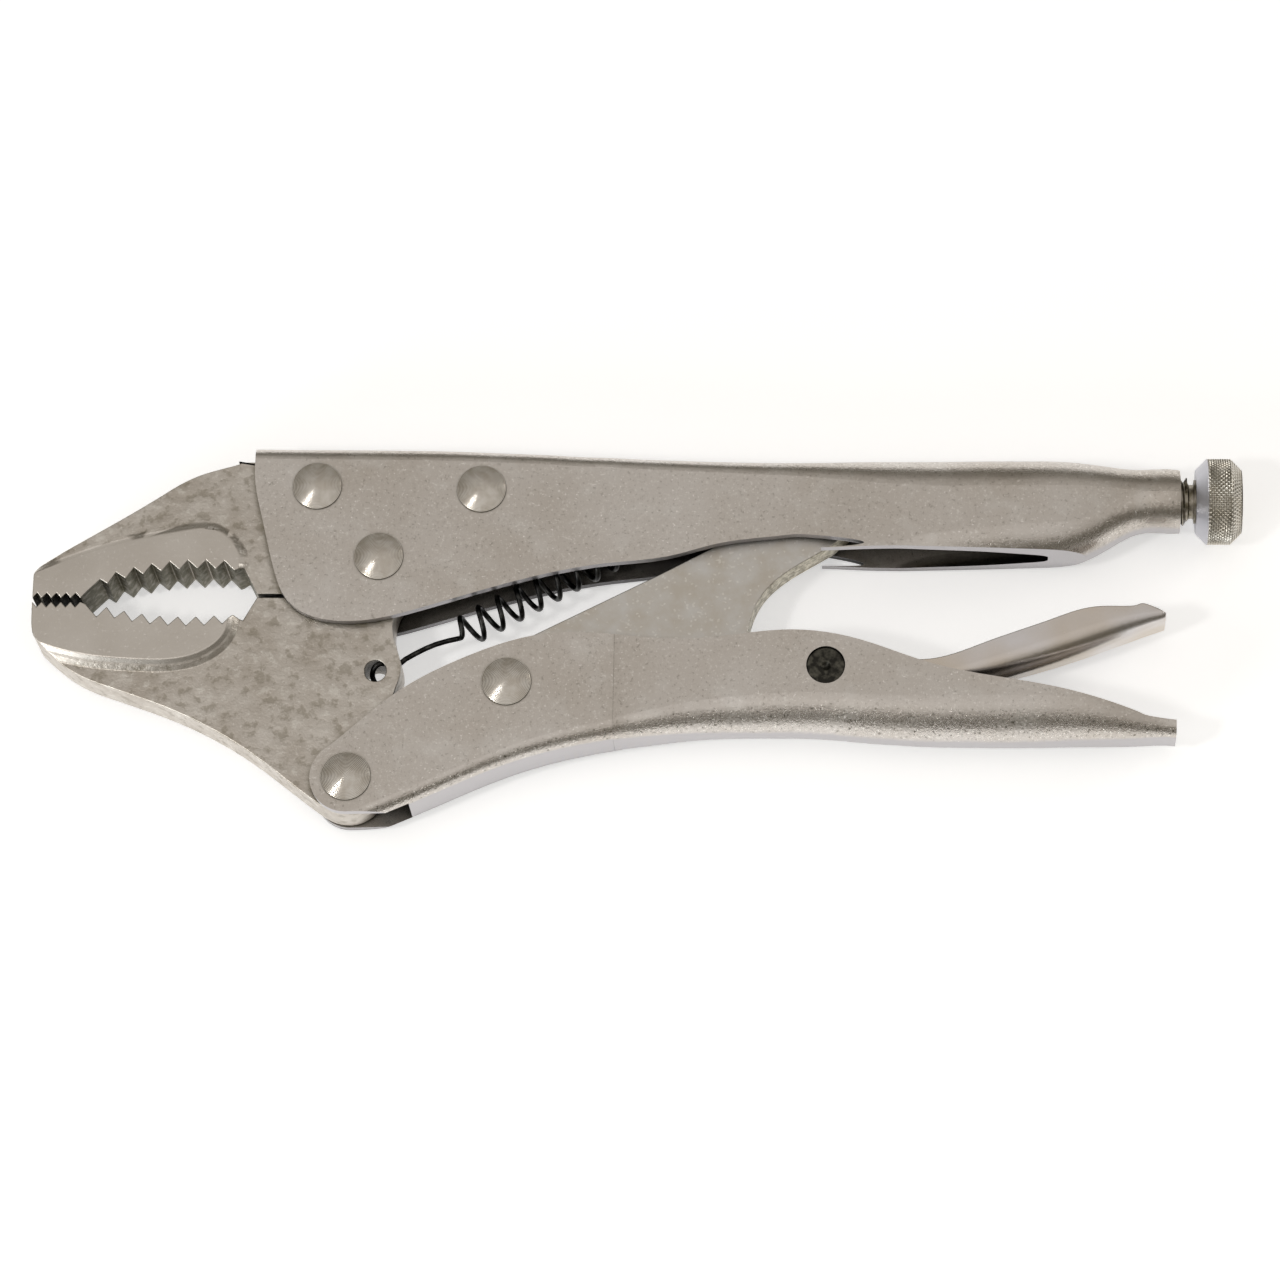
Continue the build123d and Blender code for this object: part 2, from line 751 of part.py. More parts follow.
# ---------------------------------------------------------------- adjusting screw and knob
screw_axis = Axis((0, screw_y, floor_z), (1, 0, 0))
screw_root = screw_diameter / 2 - 0.61 * screw_pitch
knob_seat = knob_length - 1.6  # how deep the shank sits in the knob
spigot = screw_root - 1.0
with BuildPart() as adjusting_screw:
    side_plane = Plane(origin=(0, screw_y, floor_z), x_dir=(1, 0, 0), z_dir=(0, 0, 1))
    with BuildSketch(side_plane):
        with BuildLine():
            crest = screw_diameter / 2
            thread_start = screw_tip_x + 1.2
            turns = int((knob_face_x - 1.6 - thread_start) / screw_pitch)
            thread = [(screw_tip_x, 0), (screw_tip_x, screw_root - 0.8), (thread_start, screw_root)]
            for turn in range(turns):
                x = thread_start + turn * screw_pitch
                thread.append((x + 0.45 * screw_pitch, crest))
                thread.append((x + 0.6 * screw_pitch, crest))
                thread.append((x + screw_pitch, screw_root))
            thread.append((knob_face_x, screw_root))
            thread.append((knob_face_x, spigot))
            thread.append((knob_face_x + knob_seat, spigot))
            thread.append((knob_face_x + knob_seat, 0))
            Polyline(*thread, close=True)
        make_face()
    revolve(axis=screw_axis)
adjusting_screw.part.label = "adjusting_screw"
export_step(adjusting_screw.part, "parts/adjusting_screw.step")

with BuildPart() as adjusting_knob:
    with BuildSketch(side_plane):
        with BuildLine():
            knob = knob_diameter / 2
            Polyline(
                (knob_face_x + knob_clearance, spigot + pivot_fit),
                (knob_face_x + knob_clearance, knob - knob_chamfer),
                (knob_face_x + knob_clearance + knob_chamfer, knob),
                (half_length - knob_chamfer, knob),
                (half_length, knob - knob_chamfer),
                (half_length, 0),
                (knob_face_x + knob_seat + knob_clearance, 0),
                (knob_face_x + knob_seat + knob_clearance, spigot + pivot_fit),
                close=True,
            )
        make_face()
    revolve(axis=screw_axis)
adjusting_knob.part.label = "adjusting_knob"
export_step(adjusting_knob.part, "parts/adjusting_knob.step")

# ---------------------------------------------------------------- tension spring
spring_dx = spring_anchor[0] - spring_hole[0]
spring_dy = spring_anchor[1] - spring_hole[1]
spring_length = hypot(spring_dx, spring_dy)
spring_way = (spring_dx / spring_length, spring_dy / spring_length)
coil_radius = (spring_coil_diameter - spring_wire) / 2
coil_height = spring_length - spring_lead - spring_tail


def on_spring(along, across, z=0.0):
    """A point given along and across the line from the ear's hole to the tab."""
    return (
        spring_hole[0] + spring_way[0] * along - spring_way[1] * across,
        spring_hole[1] + spring_way[1] * along + spring_way[0] * across,
        floor_z + z,
    )


with BuildPart() as tension_spring:
    with BuildLine() as wire_line:
        coil = Helix(
            pitch=coil_height / spring_turns,
            height=coil_height,
            radius=coil_radius,
            center=on_spring(spring_lead, 0),
            direction=(spring_way[0], spring_way[1], 0),
        )
    with BuildSketch(Plane(origin=coil @ 0, z_dir=coil % 0)):
        Circle(spring_wire / 2)
    sweep(is_frenet=True)
tension_spring.part.label = "tension_spring"
export_step(tension_spring.part, "parts/tension_spring.step")
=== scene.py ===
"""Locking pliers in nickel-plated steel, lying on a pale table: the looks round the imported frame."""

import json
from math import ceil, cos, pi, radians, sin

import bmesh
import bpy
from mathutils import Matrix, Vector

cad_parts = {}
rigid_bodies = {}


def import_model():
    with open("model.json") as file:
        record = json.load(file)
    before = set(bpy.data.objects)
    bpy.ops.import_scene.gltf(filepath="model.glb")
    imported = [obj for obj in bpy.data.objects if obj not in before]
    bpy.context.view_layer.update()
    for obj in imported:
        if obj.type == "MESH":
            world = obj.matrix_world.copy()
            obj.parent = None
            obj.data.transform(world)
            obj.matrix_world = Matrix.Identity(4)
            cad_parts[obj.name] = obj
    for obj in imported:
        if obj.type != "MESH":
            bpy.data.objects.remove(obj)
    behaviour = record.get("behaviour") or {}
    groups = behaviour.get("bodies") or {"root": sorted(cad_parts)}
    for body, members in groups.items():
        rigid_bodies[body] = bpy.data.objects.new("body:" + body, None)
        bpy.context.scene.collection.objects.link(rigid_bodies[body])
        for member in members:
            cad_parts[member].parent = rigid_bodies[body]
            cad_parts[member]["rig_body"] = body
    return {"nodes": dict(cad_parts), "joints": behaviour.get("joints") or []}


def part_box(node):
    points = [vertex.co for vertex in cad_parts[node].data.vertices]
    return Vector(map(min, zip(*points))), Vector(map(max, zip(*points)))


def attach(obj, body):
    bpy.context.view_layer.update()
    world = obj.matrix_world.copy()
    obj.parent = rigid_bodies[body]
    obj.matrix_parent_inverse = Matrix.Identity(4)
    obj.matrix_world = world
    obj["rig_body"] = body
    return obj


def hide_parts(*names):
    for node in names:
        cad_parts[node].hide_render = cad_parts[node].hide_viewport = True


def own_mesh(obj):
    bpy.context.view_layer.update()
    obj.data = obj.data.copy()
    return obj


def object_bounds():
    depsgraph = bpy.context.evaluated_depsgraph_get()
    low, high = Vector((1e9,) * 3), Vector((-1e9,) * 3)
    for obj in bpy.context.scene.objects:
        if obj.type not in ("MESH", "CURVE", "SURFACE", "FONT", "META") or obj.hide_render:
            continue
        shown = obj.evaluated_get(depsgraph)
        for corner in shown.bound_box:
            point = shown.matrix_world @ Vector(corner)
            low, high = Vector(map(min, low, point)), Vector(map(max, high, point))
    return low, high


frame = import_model()
cad_low, cad_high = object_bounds()
mm = 0.001
joints = {joint["name"]: joint for joint in frame["joints"]}
joint_at = {name: Vector(joint["pos_m"]) for name, joint in joints.items() if "pos_m" in joint}
middle_z = (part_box("upper_jaw")[0].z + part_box("upper_jaw")[1].z) / 2

# ------------------------------------------------------------------ table, light and camera
# The tool lies on a white light table under a wide, soft ceiling, in a room whose walls
# are dimmer, so that the plated bends show a dark line between two light ones.
table_size = 3.0
table_white = (0.93, 0.93, 0.93, 1)
table_glow = 0.50
table_mesh = bmesh.new()
bmesh.ops.create_grid(table_mesh, x_segments=1, y_segments=1, size=table_size)
table_data = bpy.data.meshes.new("table_top")
table_mesh.to_mesh(table_data)
table_mesh.free()
table_top = bpy.data.objects.new("table_top", table_data)
table_top.location.z = cad_low.z
bpy.context.scene.collection.objects.link(table_top)
table_paint = bpy.data.materials.new("table_white")
table_paint.use_nodes = True
table_shader = table_paint.node_tree.nodes["Principled BSDF"]
table_shader.inputs["Base Color"].default_value = table_white
table_shader.inputs["Roughness"].default_value = 0.9
table_shader.inputs["Specular IOR Level"].default_value = 0.0
table_shader.inputs["Emission Color"].default_value = (1, 1, 1, 1)
table_shader.inputs["Emission Strength"].default_value = table_glow
table_data.materials.append(table_paint)

room = bpy.data.worlds.new("room")
room.use_nodes = True
room_nodes = room.node_tree.nodes
room_links = room.node_tree.links
way = room_nodes.new("ShaderNodeTexCoord")
height = room_nodes.new("ShaderNodeSeparateXYZ")
walls = room_nodes.new("ShaderNodeValToRGB")
# Height of a direction from the table's plane, 0, to overhead, 1, and the light from there.
room_tones = (
    (0.00, (0.60, 0.59, 0.58)),
    (0.10, (0.42, 0.40, 0.37)),
    (0.30, (0.13, 0.12, 0.095)),
    (0.62, (0.17, 0.155, 0.13)),
    (0.84, (0.56, 0.53, 0.49)),
    (1.00, (0.74, 0.71, 0.68)),
)
while len(walls.color_ramp.elements) < len(room_tones):
    walls.color_ramp.elements.new(0.5)
for stop, (position, tone) in zip(walls.color_ramp.elements, room_tones):
    stop.position = position
    stop.color = (*tone, 1)
walls.color_ramp.interpolation = "EASE"
room_links.new(way.outputs["Generated"], height.inputs[0])
room_links.new(height.outputs["Z"], walls.inputs["Fac"])
room_links.new(walls.outputs["Color"], room_nodes["Background"].inputs["Color"])
room_nodes["Background"].inputs["Strength"].default_value = 1.0
bpy.context.scene.world = room
bpy.context.scene.view_settings.view_transform = "Standard"


def soft_box(name, place, size, power, tone):
    """A square soft light that faces the tool."""
    lamp = bpy.data.lights.new(name, "AREA")
    lamp.size = size
    lamp.energy = power
    lamp.color = tone
    holder = bpy.data.objects.new(name, lamp)
    holder.location = place
    holder.rotation_euler = Vector(place).to_track_quat("Z", "Y").to_euler()
    bpy.context.scene.collection.objects.link(holder)


soft_box("window_light", (-0.85, -0.95, 0.42), 0.5, 5.0, (0.95, 0.98, 1.0))
soft_box("overhead_lamp", (-0.62, -0.34, 1.00), 0.14, 2.2, (1.0, 0.98, 0.96))
soft_box("fill_light", (1.1, 0.55, 0.45), 0.5, 2.5, (1.0, 0.98, 0.95))

camera_distance = 1.1
camera_turn = radians(3.0)  # towards the knob's end
camera_tilt = radians(18.2)  # towards the lower handle
camera_roll = radians(1.1)
aim = Vector((0.9 * mm, -0.5 * mm, middle_z))
back = Vector(
    (
        sin(camera_turn) * cos(camera_tilt),
        -sin(camera_tilt),
        cos(camera_turn) * cos(camera_tilt),
    )
)
upright = (Vector((0, 1, 0)) - back * back.y).normalized()
rightward = upright.cross(back)
across = rightward * cos(camera_roll) + upright * sin(camera_roll)
upward = upright * cos(camera_roll) - rightward * sin(camera_roll)
camera_data = bpy.data.cameras.new("camera")
camera_data.lens = 148.6
camera_data.sensor_width = 36.0
camera = bpy.data.objects.new("camera", camera_data)
camera.matrix_world = Matrix.Translation(aim + back * camera_distance) @ Matrix(
    (
        (across.x, upward.x, back.x, 0),
        (across.y, upward.y, back.y, 0),
        (across.z, upward.z, back.z, 0),
        (0, 0, 0, 1),
    )
)
bpy.context.scene.collection.objects.link(camera)
bpy.context.scene.camera = camera


# ------------------------------------------------------------------ fixed handle
# One blank of 2 mm sheet steel, pressed into a channel round the jaw plate and crimped
# round the screw at its tail, then shot blasted and nickel plated.
class Shade:
    """A value or colour inside one material; arithmetic on it adds the nodes for it."""

    def __init__(self, tree, socket=None):
        self.tree = tree
        self.socket = socket

    def node(self, kind, settings, inputs, output=0):
        made = self.tree.nodes.new(f"ShaderNode{kind}")
        for name, value in settings.items():
            if name == "stops":
                ramp = made.color_ramp
                while len(ramp.elements) < len(value):
                    ramp.elements.new(0.5)
                for element, (position, tone) in zip(ramp.elements, value):
                    element.position = position
                    element.color = (*tone, 1)
            else:
                setattr(made, name, value)
        for name, value in inputs.items():
            if isinstance(value, Shade):
                self.tree.links.new(value.socket, made.inputs[name])
            else:
                made.inputs[name].default_value = value
        return Shade(self.tree, made.outputs[output])

    def maths(self, operation, *values):
        return self.node("Math", {"operation": operation}, dict(enumerate(values)))

    def __add__(self, other):
        return self.maths("ADD", self, other)

    def __sub__(self, other):
        return self.maths("SUBTRACT", self, other)

    def __mul__(self, other):
        return self.maths("MULTIPLY", self, other)

    def __rsub__(self, other):
        return self.maths("SUBTRACT", other, self)

    def __pow__(self, other):
        return self.maths("POWER", self, other)

    def __abs__(self):
        return self.maths("ABSOLUTE", self)

    __radd__ = __add__
    __rmul__ = __mul__

    def smooth(self, low, high):
        """0 up to low, 1 from high, and a smooth step between; low may be the larger."""
        settings = {"interpolation_type": "SMOOTHSTEP"}
        if low < high:
            return self.node("MapRange", settings, {0: self, 1: low, 2: high})
        return 1 - self.node("MapRange", settings, {0: self, 1: high, 2: low})

    def part(self, axis):
        return self.node("SeparateXYZ", {}, {0: self}, axis)

    def tinted(self, share, tone):
        """This colour mixed towards a tone, or another colour, by share."""
        other = tone if isinstance(tone, Shade) else (*tone, 1)
        return self.node("Mix", {"data_type": "RGBA"}, {0: share, 6: self, 7: other}, 2)

    def noise(self, scale, detail=2.0, rough=0.5, output=0):
        """Noise over the piece, with scale counted per metre."""
        inputs = {"Vector": self, "Scale": scale, "Detail": detail, "Roughness": rough}
        return self.node("TexNoise", {}, inputs, output)

    def cells(self, scale, output=1):
        """Random values, one for each small cell."""
        return self.node("TexVoronoi", {}, {"Vector": self, "Scale": scale}, output)

    def ramp(self, *stops):
        return self.node("ValToRGB", {"stops": stops}, {0: self})

    def bump(self, strength, distance, under=None):
        inputs = {"Height": self, "Strength": strength, "Distance": distance}
        if under is not None:
            inputs["Normal"] = under
        return self.node("Bump", {}, inputs)


def new_metal(name):
    """A material, its shader, the place on the piece, and how flat its surface lies."""
    paint = bpy.data.materials.new(name)
    paint.use_nodes = True
    shader = paint.node_tree.nodes["Principled BSDF"]
    shader.inputs["Metallic"].default_value = 1.0
    start = Shade(paint.node_tree)
    place = start.node("TexCoord", {}, {}, "Object")
    facing = start.node("NewGeometry", {}, {}, "Normal")
    return paint, shader, place, facing


def connect(shader, **wires):
    for name, wire in wires.items():
        socket = shader.inputs[name.replace("_", " ")]
        shader.id_data.links.new(wire.socket, socket)


def crevice(place, reach, low, high):
    """1 where the surface is shut in by others nearer than reach, 0 in the open."""
    settings = {"samples": 6}
    shut = place.node("AmbientOcclusion", settings, {"Distance": reach}, "AO")
    return shut.smooth(high, low)


def blasted_nickel(name, warm, cool, crease_sparkle):
    """Nickel over shot-blasted sheet: flecked flats with painted glints, a coarser and shinier
    crease where the sheet was bent, with stronger painted sparkle, and a smoother web beyond it
    painted cooler as a painted reflection, with painted shade in seams and in the channel."""
    paint, shader, place, facing = new_metal(name)
    flat = abs(facing.part(2))
    crease = flat.smooth(0.97, 0.88) * flat.smooth(0.12, 0.45)
    web = flat.smooth(0.35, 0.12)
    cloud = place.noise(38.0, 3.0)
    haze = place.noise(170.0, 2.0)
    pits = place.noise(2100.0, 2.0, 0.65)
    fleck = place.noise(1350.0, 3.0, 0.72)
    glint = place.noise(2600.0, 1.0)
    specks = place.cells(2900.0).part(0)
    open_skin = 1 - web
    # Bright flecks, partly the blasted grain and partly painted glints; on the bend the flecks grow
    # brighter and darker as painted sparkle.
    bright = (fleck.smooth(0.56, 0.70) * 0.6 + glint.smooth(0.66, 0.76)) * open_skin
    dark = fleck.smooth(0.43, 0.30) * open_skin
    tone = cloud.ramp((0.30, warm), (0.70, cool))
    tone = tone.tinted(haze.smooth(0.50, 0.75) * 0.30, (0.78, 0.76, 0.73))
    # Painted reflection: the web, facing sideways, is painted a cooler grey.
    tone = tone.tinted(web * 0.80, (0.50, 0.49, 0.515))
    tone = tone.tinted(bright * (0.55 + crease * 0.35 * crease_sparkle), (0.98, 0.96, 0.91))
    tone = tone.tinted(dark * (0.34 + crease * 0.60 * crease_sparkle), (0.10, 0.09, 0.06))
    # Painted shade: olive-dark in narrow seams and corners, near black deep inside the channel.
    seam_shade = crevice(place, 1.0 * mm, 0.45, 0.93)
    inside = crevice(place, 14.0 * mm, 0.34, 0.74)
    tone = tone.tinted(seam_shade * 0.55, (0.13, 0.115, 0.06))
    tone = tone.tinted(inside * 0.93, (0.012, 0.012, 0.010))
    rough = 0.34 + haze * 0.10 - bright * 0.14 - crease * 0.12 - web * 0.02 + inside * 0.25
    depth = (pits + fleck + specks * 0.35) * (1 - web * 0.85)
    flats_bump = depth.bump(0.50, 0.032 * mm)
    crease_bump = (depth * crease * crease_sparkle).bump(1.0, 0.060 * mm, flats_bump)
    wave = place.noise(95.0, 1.0).bump(0.10, 0.6 * mm, crease_bump)
    connect(shader, Base_Color=tone, Roughness=rough, Normal=wave)
    return paint


def plated(node, paint):
    """A piece that keeps its pressed or spun shape as it is, under its finish."""
    skin = frame["nodes"][node].data
    skin.materials.clear()
    skin.materials.append(paint)


handle_warm = (0.56, 0.515, 0.465)
handle_cool = (0.66, 0.625, 0.59)
fixed_nickel = blasted_nickel("fixed_handle_nickel", handle_warm, handle_cool, 0.35)
plated("fixed_handle", fixed_nickel)

# ------------------------------------------------------------------ lower handle
# A second channel of the same sheet, its bend coarse with blasting and given stronger painted
# sparkle, its web smoother, and a shallow step where its flat front for the link ends.
lower_nickel = blasted_nickel("lower_handle_nickel", handle_warm, handle_cool, 1.0)
plated("lower_handle", lower_nickel)


# ------------------------------------------------------------------ jaws
# Two drop forgings. The nose pads and the teeth are machined; the bodies keep the forged
# skin, and the teeth and jaw faces in the mouth are painted dark as painted shade.
def forged_nickel(name, mouth):
    """Nickel over forged steel, rough on the body, satin on the pads, with painted shade in the mouth.
    """
    paint, shader, place, facing = new_metal(name)
    mouth_low, mouth_high = mouth
    flat = abs(facing.part(2))
    x, y, z = (place.part(axis) for axis in range(3))
    off_middle = abs(z - middle_z)
    pad = off_middle.smooth(5.4 * mm, 5.9 * mm)
    edge = flat.smooth(0.6, 0.25)
    mouth_shade = x.smooth(mouth_high.x + 1.5 * mm, mouth_high.x) * edge
    mouth_shade = mouth_shade * y.smooth(mouth_low.y - 1.0 * mm, mouth_low.y)
    mouth_shade = mouth_shade * y.smooth(mouth_high.y + 1.0 * mm, mouth_high.y)
    scale_skin = place.noise(420.0, 3.0, 0.6)
    lumps = place.noise(120.0, 2.0)
    pits = place.noise(1900.0, 2.0, 0.6)
    specks = place.cells(2700.0).part(0)
    bright = place.noise(1500.0, 3.0, 0.7).smooth(0.58, 0.72)
    tone = lumps.ramp((0.32, (0.52, 0.475, 0.42)), (0.68, (0.65, 0.61, 0.56)))
    tone = tone.tinted(pad * 0.6, (0.64, 0.605, 0.56))
    tone = tone.tinted(bright * 0.40, (0.95, 0.93, 0.88))
    tone = tone.tinted(scale_skin.smooth(0.56, 0.70) * (1 - pad) * 0.40, (0.86, 0.84, 0.78))
    tone = tone.tinted(scale_skin.smooth(0.48, 0.34) * (1 - pad) * 0.45, (0.24, 0.21, 0.15))
    # Painted shade: the teeth and jaw faces in the mouth are painted dark, mottled by a noise.
    mouth_mottle = place.noise(700.0, 2.0).smooth(0.30, 0.60)
    tone = tone.tinted(mouth_shade * (0.55 + mouth_mottle * 0.35), (0.10, 0.095, 0.055))
    # Painted shade: olive-dark in narrow seams and corners, near black where the jaw is deeply shut
    # in.
    seam_shade = crevice(place, 1.6 * mm, 0.50, 0.96)
    inside = crevice(place, 8.0 * mm, 0.12, 0.36)
    tone = tone.tinted(seam_shade * 0.65, (0.14, 0.12, 0.065))
    tone = tone.tinted(inside * 0.9, (0.015, 0.014, 0.011))
    rough = 0.36 + lumps * 0.12 - bright * 0.12 - pad * 0.05 + mouth_shade * 0.10
    skin = (scale_skin * (1 - pad * 0.85)).bump(0.85, 0.22 * mm)
    fine = (pits + specks * 0.4).bump(0.35, 0.030 * mm, skin)
    connect(shader, Base_Color=tone, Roughness=rough, Normal=fine)
    return paint


jaw_pivot = joint_at["jaw_pivot"]
mouth_box = (
    jaw_pivot + Vector((-75.0 * mm, -14.5 * mm, 0)),
    jaw_pivot + Vector((-26.5 * mm, -1.5 * mm, 0)),
)
jaw_nickel = forged_nickel("jaw_nickel", mouth_box)
def softened(node, paint, edge):
    """The piece's own shape with its sharp edges broken, as blasting and plating leave them."""
    source = frame["nodes"][node]
    work = bmesh.new()
    work.from_mesh(source.data)
    bmesh.ops.remove_doubles(work, verts=work.verts, dist=0.002 * mm)
    bmesh.ops.dissolve_limit(
        work, angle_limit=radians(0.6), verts=work.verts, edges=work.edges
    )
    sharp = [
        e
        for e in work.edges
        if len(e.link_faces) == 2 and e.calc_face_angle() > radians(38)
    ]
    bmesh.ops.bevel(work, geom=sharp, offset=edge, segments=2, profile=0.5, affect="EDGES")
    for face in work.faces:
        face.smooth = True
    data = bpy.data.meshes.new(f"{node}_plated")
    work.to_mesh(data)
    work.free()
    piece = bpy.data.objects.new(f"{node}_plated", data)
    bpy.context.scene.collection.objects.link(piece)
    data.materials.append(paint)
    even = piece.modifiers.new("even_normals", "WEIGHTED_NORMAL")
    even.mode = "FACE_AREA"
    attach(piece, source["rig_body"])
    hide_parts(node)
    return piece


softened("upper_jaw", jaw_nickel, 0.22 * mm)
softened("lower_jaw", jaw_nickel, 0.22 * mm)


# ------------------------------------------------------------------ rivets
# Steel rivets, headed by spinning, which leaves fine rings round a low dome.
def spun_nickel(name, centre):
    """Nickel over a spun head, with rings round its own axis, and painted shade on its steep rim and
    where it meets the sheet.
    """
    paint, shader, place, facing = new_metal(name)
    dx = place.part(0) - centre.x
    dy = place.part(1) - centre.y
    radius = (dx * dx + dy * dy) ** 0.5
    ring = radius.maths("SINE", radius * (2 * pi / (0.30 * mm)) + place.noise(300.0) * 2.0)
    broad = place.noise(500.0, 2.0)
    tone = broad.ramp((0.35, (0.56, 0.52, 0.46)), (0.65, (0.68, 0.65, 0.60)))
    flat = abs(facing.part(2))
    # Painted shade: olive-dark where the head meets the sheet round it.
    seam_shade = crevice(place, 0.9 * mm, 0.50, 0.95)
    # Painted shade: the steep rim of the head, facing sideways, is painted dark.
    tone = tone.tinted(flat.smooth(0.80, 0.40) * 0.80, (0.15, 0.13, 0.065))
    tone = tone.tinted(seam_shade * 0.85, (0.10, 0.088, 0.045))
    rough = 0.17 + broad * 0.08
    turned_bump = ring.bump(0.55, 0.022 * mm)
    pits = place.noise(2300.0, 2.0, 0.6).bump(0.18, 0.02 * mm, turned_bump)
    connect(shader, Base_Color=tone, Roughness=rough, Normal=pits)
    return paint


for rivet_name in (
    "front_jaw_rivet",
    "rear_jaw_rivet",
    "jaw_pivot_rivet",
    "handle_pivot_rivet",
    "link_rivet",
):
    low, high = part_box(rivet_name)
    rivet_nickel = spun_nickel(f"{rivet_name}_nickel", (low + high) / 2)
    plated(rivet_name, rivet_nickel)


# ------------------------------------------------------------------ toggle link
# A plate blanked from thick strip: flat satin faces and a torn, oily edge all round.
def blanked_nickel(name):
    paint, shader, place, facing = new_metal(name)
    edge = abs(facing.part(2)).smooth(0.7, 0.3)
    cloud = place.noise(160.0, 4.0, 0.6)
    tear = place.noise(800.0, 3.0, 0.7)
    specks = place.cells(2300.0).part(0)
    tone = cloud.ramp((0.35, (0.60, 0.56, 0.50)), (0.65, (0.69, 0.675, 0.65)))
    tone = tone.tinted(specks.smooth(0.90, 0.98) * 0.4, (0.93, 0.91, 0.86))
    torn = tear.ramp((0.40, (0.15, 0.125, 0.06)), (0.62, (0.62, 0.57, 0.45)))
    tone = tone.tinted(edge * 0.85, torn)
    # Painted shade: near black where the link is deeply shut in by the handles.
    inside = crevice(place, 9.0 * mm, 0.14, 0.40)
    tone = tone.tinted(inside * 0.92, (0.015, 0.014, 0.011))
    rough = 0.40 + cloud * 0.10 - edge * 0.08
    grain = (place.noise(2300.0, 2.0, 0.6) + specks * 0.3).bump(0.25, 0.025 * mm)
    rags = (tear * edge).bump(0.8, 0.20 * mm, grain)
    connect(shader, Base_Color=tone, Roughness=rough, Normal=rags)
    return paint


softened("toggle_link", blanked_nickel("toggle_link_nickel"), 0.25 * mm)


# ------------------------------------------------------------------ release lever
# Thin sheet pressed to a trough, smoother and brighter than the handles.
def bright_nickel(name):
    paint, shader, place, facing = new_metal(name)
    cloud = place.noise(60.0, 2.0)
    fine = place.noise(1500.0, 2.0, 0.6)
    tone = cloud.ramp((0.35, (0.62, 0.56, 0.49)), (0.65, (0.70, 0.69, 0.71)))
    # Painted shade: near black where the lever is deeply shut in by the handle.
    inside = crevice(place, 10.0 * mm, 0.10, 0.34)
    tone = tone.tinted(inside * 0.9, (0.02, 0.018, 0.013))
    rough = 0.20 + fine * 0.10
    wave = place.noise(110.0, 1.0).bump(0.16, 0.8 * mm)
    grain = fine.bump(0.15, 0.02 * mm, wave)
    connect(shader, Base_Color=tone, Roughness=rough, Normal=grain)
    return paint


softened("release_lever", bright_nickel("release_lever_nickel"), 0.20 * mm)

# ------------------------------------------------------------------ lever pin
# A black oxide pin, peened into both walls, with a dimple from the punch.
pin_paint, pin_shader, pin_place, _ = new_metal("lever_pin_black")
pin_wear = pin_place.noise(900.0, 3.0)
pin_tone = pin_wear.ramp((0.42, (0.030, 0.029, 0.025)), (0.70, (0.12, 0.115, 0.095)))
pin_bump = pin_wear.bump(0.5, 0.10 * mm)
connect(pin_shader, Base_Color=pin_tone, Roughness=0.30 + pin_wear * 0.25, Normal=pin_bump)
softened("lever_pin", pin_paint, 0.25 * mm)

# ------------------------------------------------------------------ adjusting screw
# A steel screw with a rolled thread, oiled and dull, and a plain neck before its knob.
screw_low, screw_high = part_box("adjusting_screw")
knob_low, knob_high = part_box("adjusting_knob")
screw_y = (screw_low.y + screw_high.y) / 2
screw_z = (screw_low.z + screw_high.z) / 2
thread_pitch = 1.5 * mm
thread_crest = (screw_high.z - screw_low.z) / 2
thread_root = thread_crest - 0.61 * thread_pitch
screw_start = screw_low.x
neck_start = knob_low.x - 1.7 * mm
round_steps = 48


def threaded(turn, share, radius):
    """A row that climbs one pitch in a turn, held between the tip and the neck."""

    def row(angle):
        x = screw_start + thread_pitch * (turn + share + angle / (2 * pi))
        held = min(max(x, screw_start + 0.4 * mm), neck_start)
        chamfer = thread_root - 0.8 * mm + (held - screw_start)
        return held, min(radius if held == x else thread_root, chamfer)

    return row


work = bmesh.new()
thread_turns = ceil((neck_start - screw_start) / thread_pitch)
thread_profile = (
    (0.0, thread_root),
    (0.34, thread_crest),
    (0.50, thread_crest),
    (0.86, thread_root),
)
thread_rows = []
for turn in range(-1, thread_turns):
    for share, radius in thread_profile:
        thread_rows.append((turn, share, radius))
helix = []
for turn, share, radius in thread_rows:
    row = threaded(turn, share, radius)
    ring = []
    for step in range(round_steps + 1):
        angle = 2 * pi * step / round_steps
        x, r = row(angle)
        ring.append(work.verts.new((x, screw_y + r * cos(angle), screw_z + r * sin(angle))))
    helix.append(ring)
for one, two in zip(helix, helix[1:]):
    for step in range(round_steps):
        work.faces.new((one[step], one[step + 1], two[step + 1], two[step]))
neck_radius = thread_root - 0.5 * mm
collar_radius = thread_root + 0.5 * mm
tip_profile = (
    (screw_start + 0.4 * mm, thread_root - 0.4 * mm),
    (screw_start, thread_root - 0.9 * mm),
    (screw_start, 0.0),
)
neck_profile = (
    (neck_start, thread_root),
    (neck_start + 0.3 * mm, neck_radius),
    (knob_low.x - 0.5 * mm, neck_radius),
    (knob_low.x - 0.35 * mm, collar_radius),
    (knob_low.x, collar_radius),
    (knob_low.x, 0.0),
)
for profile in (tip_profile, neck_profile):
    before = None
    for x, r in profile:
        if r > 0:
            ring = [
                work.verts.new(
                    (
                        x,
                        screw_y + r * cos(2 * pi * step / round_steps),
                        screw_z + r * sin(2 * pi * step / round_steps),
                    )
                )
                for step in range(round_steps)
            ]
            if before:
                for step in range(round_steps):
                    after = (step + 1) % round_steps
                    work.faces.new((before[step], before[after], ring[after], ring[step]))
            before = ring
        else:
            work.faces.new(before)
bmesh.ops.remove_doubles(work, verts=work.verts, dist=0.004 * mm)
bmesh.ops.recalc_face_normals(work, faces=work.faces)
for face in work.faces:
    face.smooth = True
